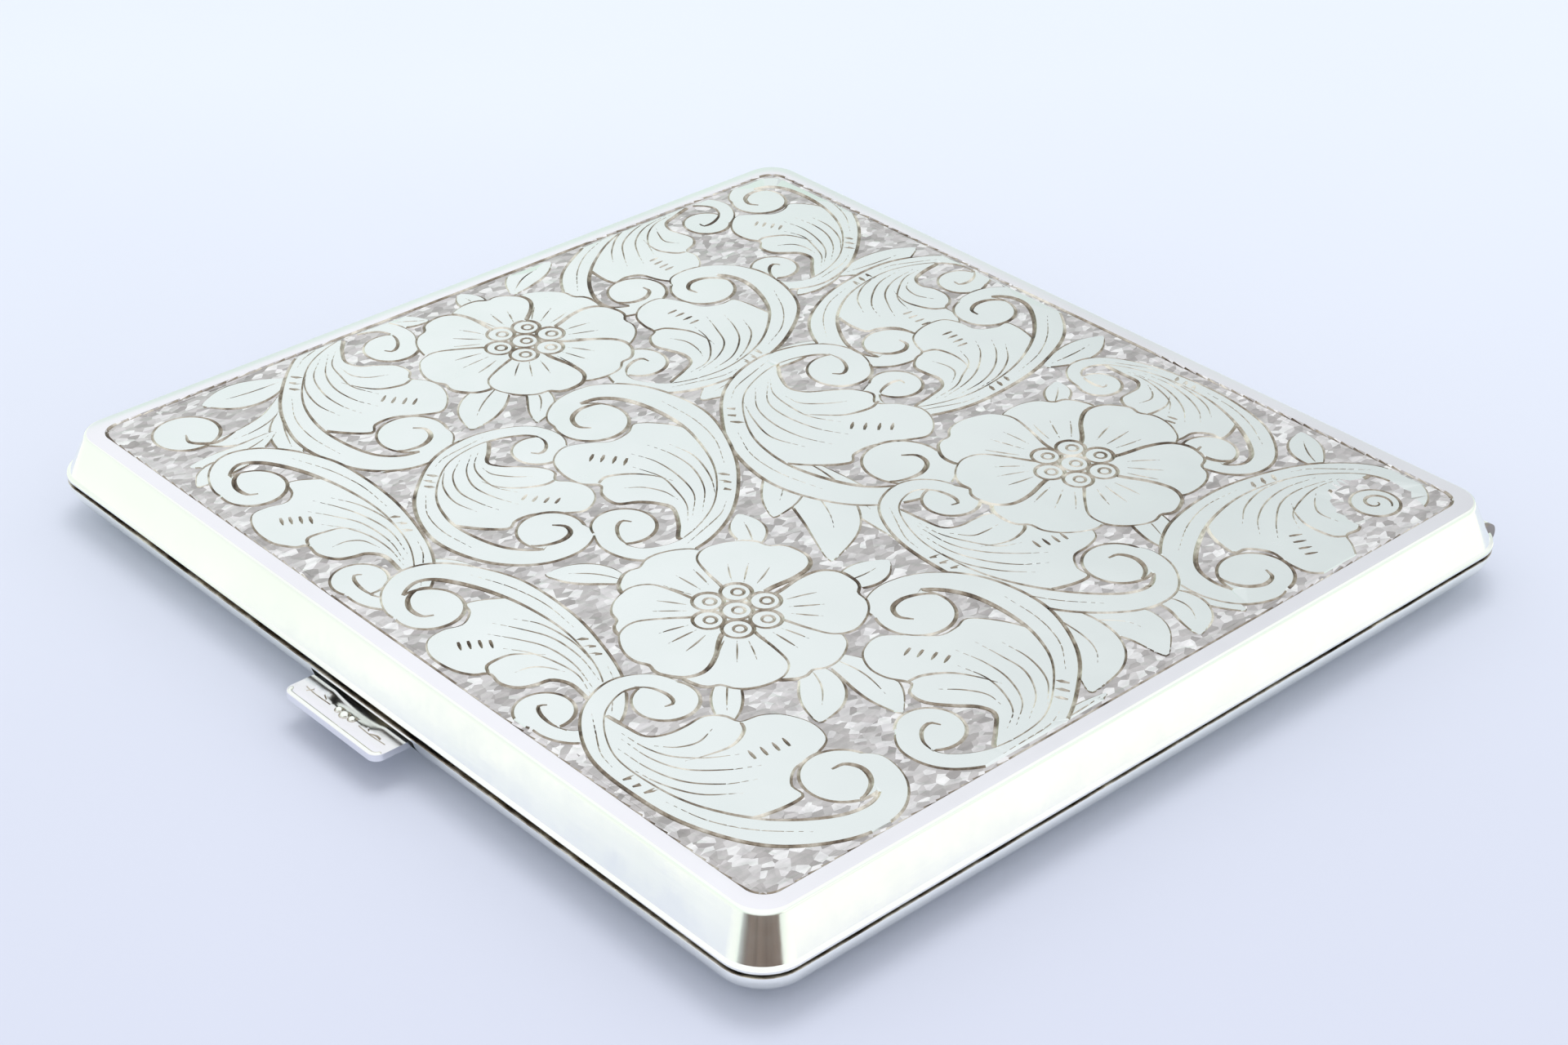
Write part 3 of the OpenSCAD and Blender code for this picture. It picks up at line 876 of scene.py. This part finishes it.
# ---------------------------------------------------------------- tray
def build_tray():
    rings = []

    def turn(a, base, reach, depth):
        return base + reach * (1 - math.cos(a)), PART_Z - depth * math.sin(a)

    rim = RIM_Z - 0.02
    start = math.asin((PART_Z - rim) / TRAY_H)
    for a in np.linspace(math.pi / 2, start * 2.0, 20):
        inset, z = turn(a, 0, TURN, TRAY_H)
        rings.append(outline(inset, CORNER, z))
    for inset, z in ((0.02, rim - 0.12), (0.04, rim - 0.04), (0.12, rim), (0.58, rim), (0.66, rim - 0.04)):
        rings.append(outline(inset, CORNER - inset * 0.9, z))
    outside = len(rings) - 2
    opened(rings, len(rings) - 5, len(rings), -0.10)
    for a in np.linspace(math.asin(0.32 / (TRAY_H - WALL)), math.pi / 2, 16):
        inset, z = turn(a, WALL, TURN - WALL, TRAY_H - WALL)
        rings.append(outline(inset, CORNER - WALL, z))
    verts, faces = loft(rings)
    n = len(rings[0])
    # the rim's top faces take the dark cut finish: painted shade in the parting gap
    gap_shade_strips = (outside - 2, outside - 1, outside)
    strips = [2 if k in gap_shade_strips else 1 if k > outside else 0 for k in range(len(rings) - 1)]
    which = [kind for kind in strips for _ in range(n)] + [0, 1]
    o = make_object("tray_pan", verts, faces, [SILVER, GILT, CUTS_AND_PAINTED_SHADE], which)
    gutter = cutter_rod(GUTTER_R, -GUTTER_HALF, GUTTER_HALF, AXIS_Y, PART_Z)
    slot = cutter_box((-6.7, -HALF_Y - 1, PART_Z - 1.75), (6.7, -HALF_Y + 2, PART_Z - 0.55))
    carve(o, [gutter, slot], 32)
    return o


add_piece(build_tray(), "tray", "tray_shell")


# ---------------------------------------------------------------- thumb tab
TAB_LO, TAB_HI = (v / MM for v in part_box("thumb_tab"))
TAB_TOP, TAB_T = PART_Z - 0.8, 0.58
BOWL_HALF, BOWL_DEPTH = 3.3, 0.20    # the shallow hollow at the slot
TAB_W, BAR_W = 12.2, TAB_HI.x - TAB_LO.x
TAB_OUT, TAB_IN = TAB_LO.y, TAB_HI.y


def tube(path, radius, n=16):
    """A rounded bar along points, its ends closed by half balls."""
    path = [Vector(p) for p in path]
    rings = []
    cap = 5
    start, end = (path[1] - path[0]).normalized(), (path[-1] - path[-2]).normalized()

    def ring(c, d, r):
        side = d.cross(Vector((0, 0, 1))).normalized()
        up = side.cross(d)
        turns = [2 * math.pi * k / n for k in range(n)]
        return [tuple(c + (side * math.cos(a) + up * math.sin(a)) * r) for a in turns]

    for k in range(1, cap):
        a = math.pi / 2 * k / cap
        rings.append(ring(path[0] - start * radius * math.cos(a), start, radius * math.sin(a)))
    for k, p in enumerate(path):
        d = (path[min(k + 1, len(path) - 1)] - path[max(k - 1, 0)]).normalized()
        rings.append(ring(p, d, radius))
    for k in reversed(range(1, cap)):
        a = math.pi / 2 * k / cap
        rings.append(ring(path[-1] + end * radius * math.cos(a), end, radius * math.sin(a)))
    return loft(rings)


BEADS = ((0.0, -43.95, 0.38), (-0.85, -43.85, 0.30), (0.85, -43.85, 0.30))


def build_tab():
    """The plate: rounded outer corners, a scoop at the slot, engraved marks, and its cross bar inside."""
    r = 0.9
    ring = []
    for cx, start in ((TAB_W / 2 - r, -90), (-TAB_W / 2 + r, 180)):
        for k in range(13):
            a = math.radians(start + 90 * k / 12)
            ring.append((cx + r * math.cos(a), TAB_OUT + r + r * math.sin(a)))
    right, left = ring[:13], ring[13:]
    bar_y = -HALF_Y + 1.45
    inner = [(TAB_W / 2, bar_y), (BAR_W / 2, bar_y), (BAR_W / 2, TAB_IN), (-BAR_W / 2, TAB_IN),
             (-BAR_W / 2, bar_y), (-TAB_W / 2, bar_y)]
    plan = right + inner + left
    net = Net()
    net.line(plan, True)
    grooves = [
        ([(-5.2, -43.95), (-3.8, -44.05), (-1.9, -44.0)], 0.06),
        ([(-4.7, -44.3), (-4.4, -43.8)], 0.08),
        ([(1.9, -44.0), (3.4, -44.05), (5.2, -43.95)], 0.06),
        ([(3.3, -44.0), (3.9, -43.75), (4.4, -43.8)], 0.10),
        ([(-3.3, -43.55), (-2.7, -43.8)], 0.06),
        ([(2.6, -43.6), (2.9, -43.8)], 0.06),
    ]
    for bx, by, br in BEADS:
        around = np.linspace(0, 2 * math.pi, 14)
        circle = [(bx + (br + 0.08) * math.cos(a), by + (br + 0.08) * math.sin(a)) for a in around]
        grooves.append((circle, 0.06))
    samples = []
    for pts, half in grooves:
        pts = resample(smooth_line(pts) if len(pts) > 2 else np.array(pts, float), 0.22)
        off = normals(pts) * half
        for p in (pts + off, pts, pts - off):
            net.line(p)
        samples += [(x, y, half) for x, y in resample(pts, 0.06)]
    xs, ys = np.arange(-6.0, 6.01, 0.3), np.arange(-45.4, -40.2, 0.3)
    grid = np.array([(x, y) for x in xs for y in ys])
    keep = inside(grid, np.array(plan) * (0.995, 1)) & inside(grid + (0, -0.1), np.array(plan))
    net.points.extend(tuple(p) for p in grid[keep])
    xy, faces = net.triangles()
    faces = [f for f in faces if inside(xy[list(f)].mean(0)[None], np.array(plan))[0]]
    spots = np.array(samples)

    def depth(p):
        d = np.hypot(spots[:, 0] - p[0], spots[:, 1] - p[1])
        k = np.argmin(d / spots[:, 2])
        return max(0.0, 1 - d[k] / spots[k, 2]) * spots[k, 2] * 1.1

    def top(p):
        across = max(0.0, 1 - (p[0] / BOWL_HALF) ** 2)
        inward = min(1.0, max(0.0, (p[1] + 43.75) / 0.5)) if p[1] < -41.2 else 0.0
        return -BOWL_DEPTH * across * inward - depth(p)

    used = sorted({k for f in faces for k in f})
    index = {k: i for i, k in enumerate(used)}
    verts = [(xy[k][0], xy[k][1], TAB_TOP + top(xy[k])) for k in used]
    faces = [tuple(index[k] for k in f) for f in faces]
    which = [1 if depth(np.mean([verts[k][:2] for k in f], axis=0)) > 0.01 else 0 for f in faces]
    close_plate(verts, faces, which, TAB_TOP - TAB_T)
    return make_object("thumb_tab_plate", verts, faces, [RIM, CUTS_AND_PAINTED_SHADE], which, 25)


add_piece(build_tab(), "catch", "thumb_tab")

rib_path = []
for cx, start in ((-TAB_W / 2 + 0.9, 200), (TAB_W / 2 - 0.9, 270)):
    for k in range(7):
        a = math.radians(start + 70 * k / 6)
        rib_path.append((cx + 0.64 * math.cos(a), TAB_OUT + 0.9 + 0.64 * math.sin(a), TAB_TOP - 0.17))
add_piece(make_object("thumb_tab_rib", *tube(rib_path, 0.26), [SILVER], None, 40), "catch")


def ball(c, r, n=20, m=10):
    rings = [[(c[0] + r * math.sin(math.pi * (j + 0.5) / m) * math.cos(2 * math.pi * k / n),
               c[1] + r * math.sin(math.pi * (j + 0.5) / m) * math.sin(2 * math.pi * k / n),
               c[2] - 0.75 * r * math.cos(math.pi * (j + 0.5) / m)) for k in range(n)] for j in range(m)]
    return loft(rings)


bead_verts, bead_faces = [], []
for bx, by, br in BEADS:
    v, f = ball((bx, by, TAB_TOP + 0.02), br)
    bead_faces += [tuple(k + len(bead_verts) for k in face) for face in f]
    bead_verts += v
add_piece(make_object("thumb_tab_beads", bead_verts, bead_faces, [SILVER], None, 60), "catch")


# ---------------------------------------------------------------- leaf springs, between tray and catch
def build_spring(name, sx):
    lo, hi = (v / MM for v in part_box(name))
    n = 40
    rings = []
    for k in range(n + 1):
        x = lo.x + (hi.x - lo.x) * k / n
        # the free end rounds off
        from_free = (x - lo.x) if sx > 0 else (hi.x - x)
        squeeze = math.sqrt(max(0.0, 1 - (1 - min(from_free / 0.7, 1)) ** 2)) * 0.62 + 0.38
        mid = (lo.z + hi.z) / 2
        h = (hi.z - lo.z) / 2 * squeeze
        e = 0.04
        low, high = mid - h, mid + h
        rings.append([(x, lo.y + e, low), (x, lo.y, low + e), (x, lo.y, high - e), (x, lo.y + e, high),
                      (x, hi.y - e, high), (x, hi.y, high - e), (x, hi.y, low + e), (x, hi.y - e, low)])
    o = make_object(name + "_strip", *loft(rings), [STEEL], None, 40)
    fix_normals(o)
    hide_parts(name)
    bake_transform(o)


build_spring("leaf_spring_left", -1)
build_spring("leaf_spring_right", 1)


# ---------------------------------------------------------------- elastic bands, looped round their keepers
def build_band(name, body, keeper, flip):
    """A woven band under its two keeper bars, folded back over them."""
    lo, hi = (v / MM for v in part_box(name))
    klo, khi = (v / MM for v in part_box(keeper))
    half_w = (hi.x - lo.x) / 2
    bar_top, bar_low = (khi.z, khi.z - 0.5) if not flip else (klo.z, klo.z + 0.5)
    sign = -1 if flip else 1
    t = 0.36
    y_bar, reach = khi.y - 0.7, 0.7
    low_z = bar_low - sign * (0.05 + t / 2)
    high_z = bar_top + sign * (0.05 + t / 2)
    r = abs(high_z - low_z) / 2
    mid_z = (low_z + high_z) / 2
    path = [(y_bar - 5.5, high_z - sign * 0.25), (y_bar - 4.2, high_z - sign * 0.12), (y_bar - 2.5, high_z),
            (y_bar, high_z)]
    for k in range(0, 9):
        a = math.pi / 2 - math.pi * k / 8
        path.append((y_bar + reach - r * 0.35 + r * 0.9 * math.cos(a), mid_z + sign * r * math.sin(a)))
    flat_z = (lo.z + hi.z) / 2
    path += [(y_bar, low_z), (y_bar - 3.0, (low_z + flat_z) / 2), (y_bar - 6.0, flat_z)]
    whole = path + [(0.0, flat_z)] + [(-y, z) for y, z in reversed(path)]
    line = resample(smooth_line(whole, 6), 0.55)
    side = normals(line)
    n_x = 20
    rings = []
    for (y, z), (ny, nz) in zip(line, side):
        ring = []
        for s, order in ((1, range(n_x + 1)), (-1, range(n_x, -1, -1))):
            for k in order:
                u = -1 + 2 * k / n_x
                x = half_w * u
                thick = t / 2 * (1 - 0.35 * abs(u) ** 8) * (1 + 0.10 * math.cos(u * n_x * math.pi / 2))
                ring.append((x, y + s * ny * thick, z + s * nz * thick))
        rings.append(ring)
    o = make_object(name + "_woven", *loft(rings), [ELASTIC], None, 50)
    fix_normals(o)
    add_piece(o, body, name)


build_band("tray_band", "tray", "tray_band_keepers", False)
build_band("lid_band", "lid", "lid_band_keepers", True)


# ---------------------------------------------------------------- CAD pieces kept: finishes, edges eased
FINISH = {"silver": SILVER, "gilt": GILT, "spring_steel": STEEL, "elastic": ELASTIC}
# the hinge plugs are painted dark and mottled: painted shade for the gap at the hinge barrel's ends
PLUG_PAINTED_SHADE = polished("silver_plug_painted_shade", (0.62, 0.58, 0.53), (0.24, 0.21, 0.19), (0.25, 0.45))
SLOT_OF = {row["node"]: row["material_slot"] for row in frame["record"]["subparts"]}
for node, obj in frame["nodes"].items():
    obj.data.materials.clear()
    obj.data.materials.append(PLUG_PAINTED_SHADE if node.startswith("hinge_plug") else FINISH[SLOT_OF[node]])
    if obj.hide_render:
        continue
    obj.data.polygons.foreach_set("use_smooth", np.ones(len(obj.data.polygons), bool))
    weld = obj.modifiers.new("weld", "WELD")
    weld.merge_threshold = 0.000002
    ease = obj.modifiers.new("ease", "BEVEL")
    ease.width = 0.00006
    ease.segments = 2
    ease.limit_method = "ANGLE"
    ease.angle_limit = math.radians(32)
    ease.harden_normals = False

# ---------------------------------------------------------------- stage
floor_mat, nt, put = material("floor_paper", 0.0, Roughness=0.62)
tone = ramp(nt, noise(nt, 9, 3), [(0.3, (0.69, 0.73, 0.815)), (0.7, (0.71, 0.75, 0.835))])
# painted shade: the floor darkens towards its near side, along a fixed direction
nearer = vector_math(nt, "DOT_PRODUCT", coords(nt), (0.736, -0.677, 0.0))
near = share_of(nt, nearer, -0.10, 0.09, False)
near_painted_shade = ramp(nt, near, [(0.0, (1.0, 1.0, 1.0)), (1.0, (0.855, 0.840, 0.895))])
tone = mix_rgb(nt, "MULTIPLY", 1.0, tone, near_painted_shade)
# painted light: the floor turns paler far away
distance_painted_paler = vector_math(nt, "LENGTH", coords(nt))
tone = mix_rgb(nt, "MIX", share_of(nt, distance_painted_paler, 0.35, 0.9), tone, (0.76, 0.79, 0.86))
nt.links.new(tone, put["Base Color"])
nt.links.new(bump(nt, noise(nt, 240, 3), 0.12, 0.0003), put["Normal"])
put["Specular IOR Level"].default_value = 0.04
CELLS, SIDE = 24, 3000.0
steps = np.linspace(-SIDE, SIDE, CELLS + 1)
floor_verts = [(x, y, -0.02) for y in steps for x in steps]
corners = [j * (CELLS + 1) + i for j in range(CELLS) for i in range(CELLS)]
floor_faces = [(k, k + 1, k + CELLS + 2, k + CELLS + 1) for k in corners]
make_object("floor", floor_verts, floor_faces, [floor_mat])

world = bpy.data.worlds.new("studio")
bpy.context.scene.world = world
world.use_nodes = True
tree = world.node_tree
where = tree.nodes.new("ShaderNodeTexCoord").outputs["Generated"]


def toward(azimuth, elevation):
    a, e = math.radians(azimuth), math.radians(elevation)
    return Vector((math.sin(a) * math.cos(e), -math.cos(a) * math.cos(e), math.sin(e)))


def spot(direction, inner, outer):
    """1 within inner degrees of a direction, 0 beyond outer degrees."""
    near = vector_math(tree, "DOT_PRODUCT", where, direction)
    return share_of(tree, near, math.cos(math.radians(outer)), math.cos(math.radians(inner)))


def level(low, high):
    """1 below the lower elevation, 0 above the higher one."""
    return share_of(tree, height_of(tree, where), math.sin(math.radians(high)), math.sin(math.radians(low)))


def both(a, b):
    m = tree.nodes.new("ShaderNodeMath")
    m.operation = "MULTIPLY"
    tree.links.new(a, m.inputs[0])
    tree.links.new(b, m.inputs[1])
    return m.outputs[0]


sky = mix_rgb(tree, "MIX", level(18, 26), (1.02, 1.03, 1.06), (0.80, 0.93, 0.85))
sky = mix_rgb(tree, "MIX", spot(toward(204, 28), 6, 26), sky, (0.80, 0.82, 0.84))
sky = mix_rgb(tree, "MIX", both(spot(toward(127, 4), 25, 60), level(13, 18)), sky, (1.35, 1.36, 1.27))
sky = mix_rgb(tree, "MIX", both(spot(toward(-40, 4), 25, 55), level(14, 22)), sky, (0.96, 1.06, 0.99))
ray = tree.nodes.new("ShaderNodeLightPath")
sky = mix_rgb(tree, "MIX", ray.outputs["Is Camera Ray"], sky, (0.86, 0.90, 1.0))
tree.links.new(sky, tree.nodes["Background"].inputs[0])
tree.nodes["Background"].inputs[1].default_value = 1.0


# low cards out of frame, which only the metal reflects: a brown one in front of the near corner, a pale green
# one on the catch side and a white one on the right
def card(name, mid, azimuth, half_width, height, colours, glow):
    """colours run from the card's foot to its top, at heights in mm. A card that doesn't glow is streaked, and
    fades to pale grey at its left-hand end."""
    mat, nt, put = material(name, 0.0, Roughness=0.9)
    up = share_of(nt, height_of(nt, coords(nt)), 0.0, height * MM, False)
    tone = ramp(nt, up, [(h / height, c) for h, c in colours])
    side = toward(azimuth + 90, 0)
    if glow:
        nt.links.new(tone, put["Emission Color"])
        put["Emission Strength"].default_value = 1.0
        put["Base Color"].default_value = (0, 0, 0, 1)
    else:
        streaks = ramp(nt, noise(nt, 60, 3, 0.6, (1, 1, 0.15)), [(0.38, 0.62), (0.62, 1.0)])
        streaked = mix_rgb(nt, "MULTIPLY", 1.0, tone, streaks)
        middle = Vector(mid).dot(side)
        along = vector_math(nt, "DOT_PRODUCT", coords(nt), side)
        width = share_of(nt, along, (middle - half_width) * MM, (middle + half_width) * MM, False)
        fade = ramp(nt, width, [(0.0, 1.0), (0.22, 0.0)])
        nt.links.new(mix_rgb(nt, "MIX", fade, streaked, (0.62, 0.64, 0.61)), put["Base Color"])
    verts = [tuple(Vector(mid) + side * (half_width * (i - 2) / 2) + Vector((0, 0, height * j / 2)))
             for j in range(3) for i in range(5)]
    faces = [(5 * j + i, 5 * j + i + 1, 5 * j + i + 6, 5 * j + i + 5) for j in range(2) for i in range(4)]
    o = make_object(name, verts, faces, [mat])
    o.visible_camera = o.visible_diffuse = o.visible_shadow = False


card("card_brown", toward(48, 0) * 150, 48, 115, 40,
     [(0, (0.21, 0.14, 0.11)), (40, (0.25, 0.19, 0.155))], False)
card("card_green", (-33, -78, 0), -44, 90, 26,
     [(1.0, (1.08, 1.1, 1.06)), (4.0, (0.98, 1.03, 0.99)), (26, (0.90, 0.96, 0.92))], True)
card("card_white", (94, 36, 0), 127, 100, 26,
     [(0, (1.15, 1.15, 1.08)), (9, (1.15, 1.15, 1.08)),
      (12, (0.89, 0.97, 0.92)), (26, (0.89, 0.97, 0.92))], True)

# a soft round lamp nearly overhead, which the metal doesn't mirror
lamp = bpy.data.lights.new("softbox_top", "AREA")
lamp.shape, lamp.size, lamp.energy, lamp.color = "DISK", 0.5, 2.0, (1.0, 0.99, 0.97)
softbox = bpy.data.objects.new("softbox_top", lamp)
softbox.location = toward(215, 80) * 0.9
softbox.rotation_mode = "QUATERNION"
softbox.rotation_quaternion = (-toward(215, 80)).to_track_quat("-Z", "Y")
softbox.visible_camera = softbox.visible_glossy = False
bpy.context.scene.collection.objects.link(softbox)

# ---------------------------------------------------------------- camera
camera_data = bpy.data.cameras.new("camera")
camera = bpy.data.objects.new("camera", camera_data)
bpy.context.scene.collection.objects.link(camera)
bpy.context.scene.camera = camera
camera_data.lens, camera_data.sensor_width = 67.85, 36.0
camera_data.clip_start, camera_data.clip_end = 0.005, 20
back = toward(47.416, 31.94)
right = Vector((0, 0, 1)).cross(back).normalized()
up = back.cross(right)
roll = math.radians(0.396)
cam_x = right * math.cos(roll) + up * math.sin(roll)
cam_y = -right * math.sin(roll) + up * math.cos(roll)
turn = Matrix((cam_x, cam_y, back)).transposed().to_4x4()
camera.matrix_world = Matrix.Translation(Vector((159.12, -144.41, 136.35)) * MM) @ turn

scene = bpy.context.scene
scene.view_settings.view_transform = "Standard"
scene.view_settings.look = "None"
